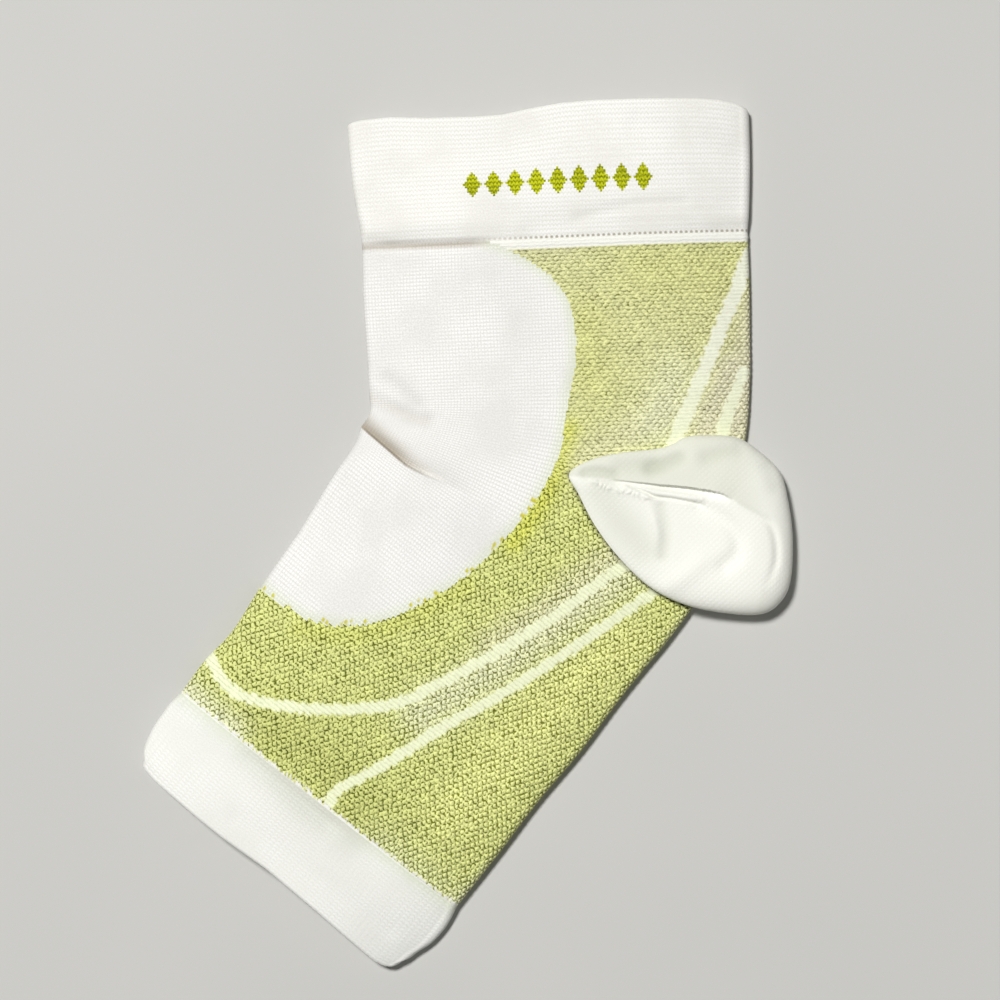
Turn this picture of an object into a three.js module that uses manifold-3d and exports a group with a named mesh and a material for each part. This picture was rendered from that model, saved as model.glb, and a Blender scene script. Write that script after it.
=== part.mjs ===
// Arch support sleeve, a knitted tube for the foot and ankle, lying flat on a table.
// The ankle cuff is at +Y, the open toe band at the lower left, and the heel pocket at +X.
// Every wall is a real cloth wall round an open hollow. Lengths are in millimetres, +Z is up.
import * as THREE from "three";
import { mergeVertices } from "three/addons/utils/BufferGeometryUtils.js";
import Module from "manifold-3d";

const wasm = await Module();
wasm.setup();

// Driving dimensions of the sleeve as it lies. A width is measured across the flat tube, and a length
// or a height along it.
const CUFF_HEIGHT = 29.4;
const CUFF_FLARE = 3.2; // how much wider the cuff is than the leg
const CUFF_RIM_STEP = 2; // how much higher the rim stands at the back
const LEG_WIDTH = 88.6;
const LEG_LENGTH = 41.2; // from the ankle crease up to the cuff seam
const FOOT_WIDTH = 80.4;
const FOOT_LENGTH = 74; // from the ankle crease down to the band seam
const BAND_HEIGHT = 19.8;
const HEEL_LENGTH = 56;
const HEEL_WIDTH = 40;
const HEEL_INSET = 8; // from the tube's back edge in to the pocket's centre
const HEEL_LIP = 5.5; // from the pocket's outline in to its mouth in the knit
const INSTEP_REACH = 44.5; // from the ankle crease to the instep panel's edge

// Walls, and the room inside them.
const KNIT_WALL = 1.2;
const CUFF_WALL = 1.8;
const BAND_WALL = 1.6;
const HEEL_WALL = 1.4;
const HOLLOW = 6; // the clear height at the crown
const FOLD_ROOM = 1.2; // the inner radius of a folded edge
const HEEL_ROOM = 1.3; // the clear height between the knit's crown and the pocket's
const HEEL_RIM_ROOM = 0.6; // the inner radius round the pocket's upper rim
const CREASE_DEPTH = 1.5;
const PLEAT_DEPTH = 1;
const GAP = 0.3;

// Angles in degrees.
const LEG_LEAN = 2.4;
const ANKLE_TURN = 40.4;

// How finely the round stretches are cut.
const EDGE_STEPS = 6;
const ARCH_STEPS = 18;
const FLOOR_STEPS = 6;
const PANEL_STEPS = 44;
const HEEL_STEPS = 36;

// The upper side's arch, as the power of its fall towards the folds, and how far across the section the
// ankle crease runs, as a share of its width.
const ARCH_POWER = 3;
const CREASE_REACH = 0.16;

// The knitted walls, one row for each section from the cuff seam to the band seam. turn is the share of
// the ankle's turn, along the share of the leg's length (above the crease) or the foot's (below it), front
// and back where the folded edges lie as shares of the width there, and crease the share of the dent that
// runs in from the front of the ankle.
const WALL_ROWS = [
  { turn: 0, along: 1, front: 0.021, back: 1.027, crease: 0 },
  { turn: 0, along: 0.68, front: 0.019, back: 1.026, crease: 0 },
  { turn: 0, along: 0.38, front: 0.022, back: 1.022, crease: 0 },
  { turn: 0, along: 0.19, front: 0.024, back: 1.018, crease: 0 },
  { turn: 0.15, along: 0.105, front: 0.02, back: 1.017, crease: 0 },
  { turn: 0.35, along: 0.053, front: 0.011, back: 1.018, crease: 0.1 },
  { turn: 0.55, along: 0.02, front: 0.003, back: 1.028, crease: 0.5 },
  { turn: 0.72, along: -0.005, front: 0.001, back: 1.055, crease: 1 },
  { turn: 0.87, along: -0.027, front: 0.006, back: 1.06, crease: 0.25 },
  { turn: 1, along: -0.068, front: 0.018, back: 1.068, crease: 0 },
  { turn: 1, along: -0.19, front: 0.025, back: 1.067, crease: 0 },
  { turn: 1, along: -0.38, front: 0.046, back: 1.071, crease: 0 },
  { turn: 1, along: -0.58, front: 0.056, back: 1.063, crease: 0 },
  { turn: 1, along: -0.75, front: 0.068, back: 1.066, crease: 0 },
  { turn: 1, along: -0.88, front: 0.059, back: 1.066, crease: 0 },
  { turn: 1, along: -1, front: 0.062, back: 1.065, crease: 0 },
];

// The toe band from its seam to its mouth. along is a share of the band's height, and front and back are
// shares of the foot's width, closing in at the mouth's rounded corners.
const BAND_ROWS = [
  { along: 0, front: 0.062, back: 1.068 },
  { along: 0.3, front: 0.06, back: 1.074 },
  { along: 0.6, front: 0.073, back: 1.066 },
  { along: 0.82, front: 0.09, back: 1.053 },
  { along: 0.94, front: 0.112, back: 1.034 },
  { along: 1, front: 0.15, back: 1.0 },
];

// The ankle cuff from its seam to its rim. along is a share of the cuff's height, front and back are how
// far its edges stand out from the leg's as shares of its flare, and step the share of its rim's rise.
const CUFF_ROWS = [
  { along: 0, front: 0, back: 0, step: 0 },
  { along: 0.3, front: 0.33, back: 0.16, step: 0 },
  { along: 0.65, front: 0.54, back: 0.36, step: 0.4 },
  { along: 0.93, front: 0.5, back: 0.44, step: 1 },
  { along: 1, front: 0.36, back: 0.16, step: 1 },
];
const RIM_STEP_FROM = 0.34;
const RIM_STEP_TO = 0.62;

// The instep panel's edge from the cuff seam round to the front of the foot. reach is a share of the
// panel's reach from the ankle crease, measured across the section that turn and along name.
const INSTEP_ROWS = [
  { turn: 0, along: 1.06, reach: 0.5 },
  { turn: 0, along: 0.97, reach: 0.74 },
  { turn: 0, along: 0.8, reach: 1.0 },
  { turn: 0, along: 0.42, reach: 1.125 },
  { turn: 0, along: 0.13, reach: 1.08 },
  { turn: 0.41, along: 0, reach: 1.01 },
  { turn: 0.89, along: 0, reach: 0.945 },
  { turn: 1, along: -0.18, reach: 0.89 },
  { turn: 1, along: -0.33, reach: 0.795 },
  { turn: 1, along: -0.52, reach: 0.56 },
  { turn: 1, along: -0.585, reach: 0.28 },
  { turn: 1, along: -0.58, reach: 0.0 },
];
const PANEL_BEYOND = 0.5;

// The heel pocket seen from above, round from its tip. along and side are shares of its length and width
// from its centre, rim the share of its height that its edge stands above the lowest edge, and fold where
// its pleat lies, out from the middle.
const HEEL_ROWS = [
  { along: -0.566, side: 0.085, rim: 0.72, fold: 0.8 },
  { along: -0.493, side: 0.195, rim: 0.66, fold: 0.76 },
  { along: -0.271, side: 0.363, rim: 0.6, fold: 0.62 },
  { along: -0.088, side: 0.518, rim: 0.5, fold: 0.47 },
  { along: 0.089, side: 0.56, rim: 0.31, fold: 0.46 },
  { along: 0.241, side: 0.458, rim: 0.06, fold: 0.55 },
  { along: 0.357, side: 0.213, rim: 0, fold: 0.7 },
  { along: 0.432, side: -0.1, rim: 0, fold: 0.82 },
  { along: 0.402, side: -0.333, rim: 0.02, fold: 0.84 },
  { along: 0.25, side: -0.425, rim: 0.2, fold: 0.8 },
  { along: 0.036, side: -0.448, rim: 0.5, fold: 0.74 },
  { along: -0.179, side: -0.375, rim: 0.72, fold: 0.7 },
  { along: -0.375, side: -0.208, rim: 0.85, fold: 0.72 },
  { along: -0.509, side: -0.02, rim: 0.8, fold: 0.78 },
];
const HEEL_TURN = 0.473;
const HEEL_CENTRE = 1.05;
const PLEAT_HALF_WIDTH = 0.09;

// Where the inner rings of the heel pocket lie, out from its middle: one on its floor and two on its top.
const HEEL_RINGS = { floor: 0.4, slope: 0.5, crown: 0.2 };

// A point in plan, from the share of the ankle's turn and the distances across and along that section.
function inPlan(turn, across, along) {
  const angle = THREE.MathUtils.degToRad(LEG_LEAN - turn * ANKLE_TURN);
  return new THREE.Vector2(across, along).rotateAround(new THREE.Vector2(), angle);
}

// The width that a section's shares refer to: the leg's, the foot's, or between the two in the ankle.
function widthAt(turn) {
  return THREE.MathUtils.lerp(LEG_WIDTH, FOOT_WIDTH, turn);
}

// A share of the leg's length above the crease, or of the foot's below it, as a distance.
function alongAt(share) {
  return share * (share > 0 ? LEG_LENGTH : FOOT_LENGTH);
}

// One section of the sleeve: where it lies, its two folded edges and its wall.
function section({ turn, along, front, back, wall, dent = 0, step = 0 }) {
  return { turn, along, front, back, wall, dent, step };
}

// The outer radius of a folded edge: the wall bent round the little room that is left inside the fold.
function foldRadius(wall) {
  return wall + FOLD_ROOM;
}

// The height of a section's crown over the hollow.
function crownOver(wall) {
  return 2 * wall + HOLLOW;
}

// How high the upper side of a section stands at share v of its width, arched between its folded edges.
function upperHeight(row, v) {
  const edge = 2 * foldRadius(row.wall);
  const arch = 1 - Math.abs(2 * v - 1) ** ARCH_POWER;
  const dent = row.dent * Math.exp(-((v / CREASE_REACH) ** 2));
  return edge + (crownOver(row.wall) - edge) * arch - dent;
}

// A closed ring of points round a section, inset from its outer surface: the floor side, the back fold,
// the arched upper side and the front fold.
function ring(row, inset) {
  const width = row.back - row.front;
  const radius = foldRadius(row.wall);
  const span = width - 2 * radius;
  const round = radius - inset;
  const points = [];
  for (let i = 0; i < FLOOR_STEPS; i++) {
    points.push([radius + (span * i) / FLOOR_STEPS, inset]);
  }
  for (let i = 0; i < EDGE_STEPS; i++) {
    const angle = (i / EDGE_STEPS - 0.5) * Math.PI;
    points.push([width - radius + round * Math.cos(angle), radius + round * Math.sin(angle)]);
  }
  for (let i = 0; i < ARCH_STEPS; i++) {
    const v = 1 - i / ARCH_STEPS;
    points.push([radius + span * v, upperHeight(row, v) - inset]);
  }
  const frontTop = upperHeight(row, 0) - inset;
  for (let i = 0; i < EDGE_STEPS; i++) {
    const angle = (0.5 + i / EDGE_STEPS) * Math.PI;
    const height = (frontTop + inset) / 2 + ((frontTop - inset) / 2) * Math.sin(angle);
    points.push([radius + round * Math.cos(angle), height]);
  }
  return points.map(([across, z]) => {
    const rise = THREE.MathUtils.smoothstep(across / width, RIM_STEP_FROM, RIM_STEP_TO);
    const p = inPlan(row.turn, row.front + across, row.along + row.step * rise);
    return [p.x, p.y, z];
  });
}

// A solid from a list of rings with the same number of points. Without caps the last ring joins the first.
function fromRings(rings, capped) {
  const count = rings[0].length;
  const vertices = rings.flat();
  const triangles = [];
  const bands = capped ? rings.length - 1 : rings.length;
  for (let i = 0; i < bands; i++) {
    const a = i * count;
    const b = ((i + 1) % rings.length) * count;
    for (let j = 0; j < count; j++) {
      const k = (j + 1) % count;
      triangles.push(a + j, b + k, b + j, a + j, a + k, b + k);
    }
  }
  if (capped) {
    for (const [start, flip] of [[0, false], [rings.length - 1, true]]) {
      const middle = vertices.length;
      const own = rings[start];
      vertices.push([0, 1, 2].map((axis) => own.reduce((sum, p) => sum + p[axis], 0) / count));
      for (let j = 0; j < count; j++) {
        const p = start * count + j;
        const q = start * count + ((j + 1) % count);
        triangles.push(middle, flip ? p : q, flip ? q : p);
      }
    }
  }
  const geometry = new THREE.BufferGeometry();
  geometry.setAttribute("position", new THREE.Float32BufferAttribute(vertices.flat(), 3));
  geometry.setIndex(triangles);
  return toSolid(geometry);
}

// A closed geometry as a solid that can be cut and joined.
function toSolid(geometry) {
  const bare = geometry.clone();
  bare.deleteAttribute("normal");
  bare.deleteAttribute("uv");
  const merged = mergeVertices(bare, 1e-4);
  const triVerts = new Uint32Array(merged.index.array);
  const vertProperties = new Float32Array(merged.attributes.position.array);
  return new wasm.Manifold(new wasm.Mesh({ numProp: 3, vertProperties, triVerts }));
}

// The hollow wall of a run of sections, as one closed skin: down the outside and back up the inside.
function hollowWall(rows) {
  const outside = rows.map((row) => ring(row, 0));
  const inside = rows.map((row) => ring(row, row.wall)).reverse();
  return fromRings([...outside, ...inside], false);
}

// A vertical block with a plan outline, from one height to another.
function block(outline, low, high) {
  const geometry = new THREE.ExtrudeGeometry(new THREE.Shape(outline), {
    depth: high - low,
    bevelEnabled: false,
  });
  geometry.translate(0, 0, low);
  return toSolid(geometry);
}

// A run of plan points moved sideways by a distance, to the right of the way that they run.
function shifted(points, distance) {
  return points.map((p, i) => {
    const before = points[Math.max(i - 1, 0)];
    const after = points[Math.min(i + 1, points.length - 1)];
    const way = after.clone().sub(before).normalize();
    return new THREE.Vector2(p.x + way.y * distance, p.y - way.x * distance);
  });
}

const heelCrown = crownOver(KNIT_WALL) + GAP + HEEL_ROOM + HEEL_WALL;
const tallest = 2 * heelCrown;

// The knitted wall of the leg and the foot, in one run of sections.
const wallRows = WALL_ROWS.map((row, i) => {
  const seam = i === 0 ? -GAP / 2 : i === WALL_ROWS.length - 1 ? GAP / 2 : 0;
  return section({
    turn: row.turn,
    along: alongAt(row.along) + seam,
    front: row.front * widthAt(row.turn),
    back: row.back * widthAt(row.turn),
    wall: KNIT_WALL,
    dent: row.crease * CREASE_DEPTH,
  });
});

// The whole knitted wall of the leg and the foot, before the panel and the heel mouth are cut out of it.
function makeKnitWall() {
  return hollowWall(wallRows);
}

// The full outside of the leg and foot, grown by the gap, which the heel pocket is cut clear of.
function makeKnitEnvelope() {
  return fromRings(wallRows.map((row) => ring(row, -GAP)), true);
}

// The block that holds the instep panel, its edge moved out by a distance.
function instepBlock(distance) {
  const edge = INSTEP_ROWS.map((row) => inPlan(row.turn, row.reach * INSTEP_REACH, alongAt(row.along)));
  const curve = shifted(new THREE.SplineCurve(edge).getPoints(PANEL_STEPS), -distance);
  const beyond = -PANEL_BEYOND * INSTEP_REACH;
  const lowLeft = inPlan(1, beyond, alongAt(INSTEP_ROWS.at(-1).along) - distance);
  const highLeft = inPlan(0, beyond, alongAt(INSTEP_ROWS[0].along));
  return block([...curve, lowLeft, highLeft], -1, tallest);
}

// The ankle cuff, a turned welt with a double wall.
function makeCuff() {
  const rows = CUFF_ROWS.map((row) =>
    section({
      turn: 0,
      along: LEG_LENGTH + GAP / 2 + row.along * (CUFF_HEIGHT - GAP / 2),
      front: wallRows[0].front - row.front * CUFF_FLARE,
      back: wallRows[0].back + row.back * CUFF_FLARE,
      wall: CUFF_WALL,
      step: row.step * CUFF_RIM_STEP,
    }),
  );
  return hollowWall(rows.reverse());
}

// The toe band, a turned welt like the cuff but lower and thinner.
function makeBand() {
  const rows = BAND_ROWS.map((row) =>
    section({
      turn: 1,
      along: -FOOT_LENGTH - GAP / 2 - row.along * (BAND_HEIGHT - GAP / 2),
      front: row.front * FOOT_WIDTH,
      back: row.back * FOOT_WIDTH,
      wall: BAND_WALL,
    }),
  );
  return hollowWall(rows);
}

// The heel pocket's rows on its closed outline, with the rim and the fold running smoothly between them.
function heelOutline() {
  const middle = inPlan(HEEL_TURN, widthAt(HEEL_TURN) * HEEL_CENTRE - HEEL_INSET, 0);
  const lowest = 2 * foldRadius(HEEL_WALL);
  const angle = THREE.MathUtils.degToRad(LEG_LEAN - HEEL_TURN * ANKLE_TURN);
  const points = HEEL_ROWS.map((row) => {
    const p = new THREE.Vector2(row.along * HEEL_LENGTH, row.side * HEEL_WIDTH);
    p.rotateAround(new THREE.Vector2(), angle).add(middle);
    return new THREE.Vector3(p.x, p.y, THREE.MathUtils.lerp(lowest, heelCrown, row.rim));
  });
  const plan = new THREE.CatmullRomCurve3(points, true);
  const folds = new THREE.CatmullRomCurve3(
    HEEL_ROWS.map((row) => new THREE.Vector3(row.fold, 0, 0)),
    true,
  );
  const outline = [];
  for (let i = 0; i < HEEL_STEPS; i++) {
    const t = 1 - i / HEEL_STEPS;
    const p = plan.getPoint(t);
    outline.push({ x: p.x, y: p.y, rim: p.z, fold: folds.getPoint(t).x });
  }
  return { middle, outline };
}

// The heel pocket's outline drawn in by a distance, as plan points.
function heelPlan(distance) {
  const { middle, outline } = heelOutline();
  return outline.map((p) => {
    const out = new THREE.Vector2(p.x - middle.x, p.y - middle.y);
    return out.setLength(out.length() - distance).add(middle);
  });
}

// A closed cushion over the heel's outline, inset from its outer surface. Its rings run from the floor,
// round the lower edge, up the rim, over its rounded top and the pleat, to the middle.
function heelCushion(inset) {
  const { middle, outline } = heelOutline();
  const low = foldRadius(HEEL_WALL) - inset;
  const top = HEEL_WALL + HEEL_RIM_ROOM - inset;
  const crown = heelCrown - inset;
  const around = (place) =>
    outline.map((p) => {
      const out = new THREE.Vector2(p.x - middle.x, p.y - middle.y);
      const { drawn = 0, share = 1, z } = place({ ...p, rim: p.rim - inset });
      out.setLength((out.length() - inset - drawn) * share).add(middle);
      return [out.x, out.y, z];
    });
  const dome = (p, share, depth) => ({
    drawn: top,
    share,
    z: p.rim + (crown - p.rim) * (1 - share ** 2) - depth,
  });
  const bend = 1 - Math.SQRT1_2;
  return fromRings(
    [
      around(() => ({ share: HEEL_RINGS.floor, z: inset })),
      around(() => ({ drawn: low, z: inset })),
      around(() => ({ drawn: low * bend, z: inset + low * bend })),
      around(() => ({ z: inset + low })),
      around((p) => ({ z: p.rim - top })),
      around((p) => ({ drawn: top * bend, z: p.rim - top * bend })),
      around((p) => dome(p, 1, 0)),
      around((p) => dome(p, p.fold + PLEAT_HALF_WIDTH, 0)),
      around((p) => dome(p, p.fold, PLEAT_DEPTH)),
      around((p) => dome(p, p.fold - PLEAT_HALF_WIDTH, PLEAT_DEPTH / 2)),
      around((p) => dome(p, p.fold * HEEL_RINGS.slope, 0)),
      around((p) => dome(p, p.fold * HEEL_RINGS.crown, 0)),
    ],
    true,
  );
}

// The heel pocket: a cloth wall with an open underside where the tube passes beneath it.
function makeHeel() {
  return heelCushion(0).subtract(heelCushion(HEEL_WALL)).subtract(makeKnitEnvelope());
}

// The opening in the knitted wall through which the heel goes into its pocket.
function heelMouth() {
  return block(heelPlan(HEEL_LIP), KNIT_WALL, tallest);
}

// A named mesh for a solid, in its own colour.
function piece(name, solid, color, roughness) {
  const made = solid.getMesh();
  const count = made.numProp;
  const vertices = new Float32Array(made.numVert * 3);
  for (let i = 0; i < made.numVert; i++) {
    vertices.set(made.vertProperties.subarray(i * count, i * count + 3), i * 3);
  }
  const geometry = new THREE.BufferGeometry();
  geometry.setAttribute("position", new THREE.BufferAttribute(vertices, 3));
  geometry.setIndex(new THREE.BufferAttribute(made.triVerts, 1));
  geometry.computeVertexNormals();
  const mesh = new THREE.Mesh(geometry, new THREE.MeshStandardMaterial({ color, roughness, metalness: 0 }));
  mesh.name = name;
  return mesh;
}

const knit = makeKnitWall();
const sleeve = new THREE.Group();
sleeve.add(
  piece("ankle_cuff", makeCuff(), 0xf2f1ec, 0.95),
  piece("instep_panel", knit.intersect(instepBlock(0)), 0xecebe6, 0.95),
  piece("mesh_body", knit.subtract(instepBlock(GAP)).subtract(heelMouth()), 0xc3cd72, 0.95),
  piece("heel_pocket", makeHeel(), 0xeeeee8, 0.95),
  piece("toe_band", makeBand(), 0xf2f2ee, 0.95),
);

// The origin is the middle of the sleeve's outline, on the table.
const bounds = new THREE.Box3().setFromObject(sleeve);
const centre = bounds.getCenter(new THREE.Vector3());
sleeve.position.set(-centre.x, -centre.y, -bounds.min.z);

export default sleeve;
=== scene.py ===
# Arch support sleeve: a knitted foot and ankle sleeve with an open toe, lying flat on a pale table and
# seen from straight above. Plan sizes below are in millimetres from the crease at the front of the ankle.
import math

import bmesh
import bpy
import numpy as np
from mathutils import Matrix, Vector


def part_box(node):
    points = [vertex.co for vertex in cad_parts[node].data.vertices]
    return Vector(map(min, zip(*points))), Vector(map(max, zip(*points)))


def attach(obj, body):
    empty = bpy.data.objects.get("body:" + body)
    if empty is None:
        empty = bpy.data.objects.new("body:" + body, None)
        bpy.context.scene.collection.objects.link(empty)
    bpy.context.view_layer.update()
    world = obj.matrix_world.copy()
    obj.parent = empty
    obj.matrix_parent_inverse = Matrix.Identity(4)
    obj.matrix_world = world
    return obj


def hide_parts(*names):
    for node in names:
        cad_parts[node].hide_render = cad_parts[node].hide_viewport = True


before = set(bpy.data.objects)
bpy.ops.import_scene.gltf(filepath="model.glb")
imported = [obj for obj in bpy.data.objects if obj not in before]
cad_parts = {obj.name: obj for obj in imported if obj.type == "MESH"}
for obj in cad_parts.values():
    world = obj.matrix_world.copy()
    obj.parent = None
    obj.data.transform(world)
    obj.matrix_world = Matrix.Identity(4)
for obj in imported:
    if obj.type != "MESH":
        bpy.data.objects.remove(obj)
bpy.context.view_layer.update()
MM = 0.001


# Camera, light and table.
# The sleeve is seen from straight above, in soft light from a window at the upper left that leaves a
# narrow dark line of shadow along its right edges.
VIEW_CENTRE = (6.94, 6.88)
VIEW_WIDTH = 230
VIEW_LEVEL = 6
CAMERA_HEIGHT = 800
SENSOR = 36

scene = bpy.context.scene
scene.view_settings.view_transform = "Standard"

camera = bpy.data.objects.new("camera", bpy.data.cameras.new("camera"))
camera.location = (VIEW_CENTRE[0] * MM, VIEW_CENTRE[1] * MM, CAMERA_HEIGHT * MM)
camera.data.sensor_width = SENSOR
camera.data.lens = SENSOR * (CAMERA_HEIGHT - VIEW_LEVEL) / VIEW_WIDTH
scene.collection.objects.link(camera)
scene.camera = camera


def add_window(name, place, size, power, color):
    """A square area light at a place in metres, facing the middle of the table."""
    light = bpy.data.lights.new(name, "AREA")
    light.size = size
    light.energy = power
    light.color = color
    lamp = bpy.data.objects.new(name, light)
    lamp.location = place
    lamp.rotation_mode = "QUATERNION"
    lamp.rotation_quaternion = lamp.location.to_track_quat("Z", "Y")
    scene.collection.objects.link(lamp)


add_window("window", (-0.92, 1.05, 3), 0.52, 113, (1, 0.996, 0.992))
add_window("wall_bounce", (0.7, -0.5, 0.9), 1.2, 2, (0.99, 1, 1))

world = bpy.data.worlds.new("room")
world.use_nodes = True
world.node_tree.nodes["Background"].inputs["Color"].default_value = (1, 1, 0.99, 1)
world.node_tree.nodes["Background"].inputs["Strength"].default_value = 0.035
scene.world = world


def linear(red, green, blue):
    """A colour given as 0 to 255 display values, as the linear values that a shader takes."""
    c = np.array([red, green, blue]) / 255
    return np.where(c <= 0.04045, c / 12.92, ((c + 0.055) / 1.055) ** 2.4)


def new_material(name, roughness, sheen):
    """A cloth material with its shader, and the tree that its nodes go in."""
    made = bpy.data.materials.new(name)
    made.use_nodes = True
    shader = made.node_tree.nodes["Principled BSDF"]
    shader.inputs["Roughness"].default_value = roughness
    shader.inputs["Specular IOR Level"].default_value = 0.25
    shader.inputs["Sheen Weight"].default_value = sheen
    shader.inputs["Sheen Roughness"].default_value = 0.5
    return made, made.node_tree, shader


def new_node(kind, inputs, **settings):
    """A node in the tree of the outputs that feed it. Its inputs, by name or number, are other nodes'
    outputs, numbers or colours, and its other settings go by name."""
    tree = next(value.id_data for value in inputs.values() if isinstance(value, bpy.types.NodeSocket))
    node = tree.nodes.new(kind)
    for name, value in settings.items():
        setattr(node, name, value)
    for name, value in inputs.items():
        if isinstance(value, bpy.types.NodeSocket):
            tree.links.new(value, node.inputs[name])
        else:
            node.inputs[name].default_value = value if np.isscalar(value) else (*value, 1)
    return node


def maths(operation, *values):
    """The output of one Math node fed with outputs or plain numbers."""
    return new_node("ShaderNodeMath", dict(enumerate(values)), operation=operation).outputs[0]


def cloud(vector, scale, detail):
    """The value of a noise texture, from 0 to 1, on a vector output."""
    return new_node("ShaderNodeTexNoise", {"Vector": vector, "Scale": scale, "Detail": detail}).outputs[0]


def blend_colors(amount, first, second, kind="MIX"):
    """Two colours mixed by a mask, or multiplied."""
    inputs = {0: amount, 6: first, 7: second}
    return new_node("ShaderNodeMix", inputs, data_type="RGBA", blend_type=kind).outputs[2]


table_top, table_tree, table_shader = new_material("pale_table", 0.6, 0)
table_object = table_tree.nodes.new("ShaderNodeTexCoord").outputs["Object"]
table_tone = blend_colors(cloud(table_object, 9, 2), linear(195, 195, 191), linear(204, 203, 199))
table_tree.links.new(table_tone, table_shader.inputs["Base Color"])
bpy.ops.mesh.primitive_plane_add(size=3)
table = bpy.context.object
table.name = "table"
table.data.materials.append(table_top)


# The knitted tube of the leg and the foot.
# A flat-lying tube of mock mesh, lime yarn knitted so that raised stitches stand in a half-drop pattern
# round small dark holes. It turns through the ankle, and its two folded edges are round.
ANKLE = np.array([-25.03, 23.9])
LEG_LEAN = 2.4
ANKLE_TURN = 40.4
KNIT_WALL = 1.2
LEG_EDGE = 1.75
FOOT_EDGE = 2.4
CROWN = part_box("mesh_body")[1].z / MM
ARCH_POWER = 3
LEAST_RADIUS = 0.15

# Sections from the cuff seam to the band seam: the share of the ankle's turn, the distance above the
# crease, and how far its front and its back edge lie from the crease.
TUBE_EDGES = [
    (0, 41.2, 1.8, 91.0),
    (0, 28, 1.6, 90.9),
    (0, 15.7, 1.95, 90.5),
    (0, 7.8, 2.0, 90.2),
    (0.15, 4.3, 1.7, 88.85),
    (0.35, 2.2, 0.9, 87.3),
    (0.55, 0.8, 0.2, 86.4),
    (0.72, -0.4, 0, 87.2),
    (0.87, -2, 0.5, 86.4),
    (1, -5, 1.4, 85.9),
    (1, -14, 2.0, 85.8),
    (1, -28, 3.6, 86.1),
    (1, -43, 4.4, 85.5),
    (1, -55.5, 5.6, 85.7),
    (1, -65, 4.8, 85.7),
    (1, -74, 5.0, 85.6),
]


def in_plan(turn, across, along):
    """Plan points from the share of the ankle's turn and the distances across and along that section."""
    angle = np.radians(LEG_LEAN - np.asarray(turn) * ANKLE_TURN)
    x = across * np.cos(angle) - along * np.sin(angle)
    y = across * np.sin(angle) + along * np.cos(angle)
    return np.stack([x, y], axis=-1)


def smooth_run(points, steps):
    """A smooth run through points: between two of them a cubic, whose slope at each is half the way from
    the point before it to the point after it."""
    p = np.asarray(points, float)
    p = np.vstack([2 * p[0] - p[1], p, 2 * p[-1] - p[-2]])
    a, b, c, d = (q[:, None, :] for q in (p[:-3], p[1:-2], p[2:-1], p[3:]))
    t = np.linspace(0, 1, steps, endpoint=False)[None, :, None]
    run = b + 0.5 * t * ((c - a) + t * ((2 * a - 5 * b + 4 * c - d) + t * (3 * (b - c) + d - a)))
    return np.vstack([run.reshape(-1, p.shape[1]), p[-2]])


def walk(run, distance):
    """The points of a run at given distances along it, and the run's whole length."""
    lengths = np.concatenate([[0], np.cumsum(np.linalg.norm(np.diff(run, axis=0), axis=1))])
    return np.stack([np.interp(distance, lengths, run[:, k]) for k in range(2)], axis=-1), lengths[-1]


def round_section(t, width, inset, edge, crown):
    """How far across and how high a section's skin is at t, which runs from 0 at its front edge over the
    top to 0.5 at its back edge and underneath back to 1. Each edge is a half circle with the edge's radius,
    the upper side between them rises to the crown by one less the third power of the distance from its
    middle, and the lower side is flat. Also how much longer the way round is than the way across."""
    radius = np.maximum(edge - inset, LEAST_RADIUS)
    width = width - 2 * inset
    half = width - 2 * radius + math.pi * radius
    upper = t <= 0.5
    d = np.where(upper, 2 * t, 2 - 2 * t) * half
    quarter = math.pi * radius / 2
    front = np.clip(d / radius, 0, math.pi / 2)
    back = np.clip((half - d) / radius, 0, math.pi / 2)
    across = np.where(d < quarter, radius - radius * np.cos(front), radius + d - quarter)
    across = np.where(d > half - quarter, width - radius + radius * np.cos(back), across)
    lift = np.where(d < quarter, np.sin(front), np.where(d > half - quarter, np.sin(back), 1))
    v = np.clip((across - radius) / (width - 2 * radius), 0, 1)
    arch = (crown - 2 * inset - 2 * radius) * (1 - np.abs(2 * v - 1) ** ARCH_POWER)
    height = np.where(upper, radius + radius * lift + arch, radius - radius * lift)
    return inset + across, inset + height, d - across


def nearness(xy, path):
    """For plan points: the distance to a bent line, on which side of it each lies (1 for the left of its
    run), and the share of its length at the nearest place."""
    path = np.asarray(path, float)
    best = np.full(xy.shape[:-1], 1e9)
    side = np.zeros(xy.shape[:-1])
    share = np.zeros(xy.shape[:-1])
    lengths = np.linalg.norm(np.diff(path, axis=0), axis=1)
    before = 0
    for start, end, length in zip(path[:-1], path[1:], lengths):
        way = (end - start) / length
        off = xy - start
        along = np.clip(off @ way, 0, length)
        gap = np.linalg.norm(off - along[..., None] * way, axis=-1)
        closer = gap < best
        best = np.where(closer, gap, best)
        side = np.where(closer, np.sign(way[0] * off[..., 1] - way[1] * off[..., 0]), side)
        share = np.where(closer, (before + along) / lengths.sum(), share)
        before += length
    return best, side, share


def bell(distance, width):
    """The bell of a distance: e to the minus square of its share of a width."""
    return np.exp(-((distance / width) ** 2))


def near(xy, path, width):
    """A bell round a bent line, at plan points."""
    return bell(nearness(xy, path)[0], width)


def fold(xy, path, width, height, fade=0):
    """The height that a fold adds: a bell across its line, round at its ends, or faded out over a share of
    the line at each end."""
    gap, _, share = nearness(xy, smooth_run(path, 4))
    ends = np.clip(np.minimum(share, 1 - share) / fade, 0, 1) if fade else 1
    return height * bell(gap, width) * ends


def folds(xy, rows):
    """The height that several folds add together, each with its line, width, height and fading."""
    return sum(fold(xy, *row) for row in rows)


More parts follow.
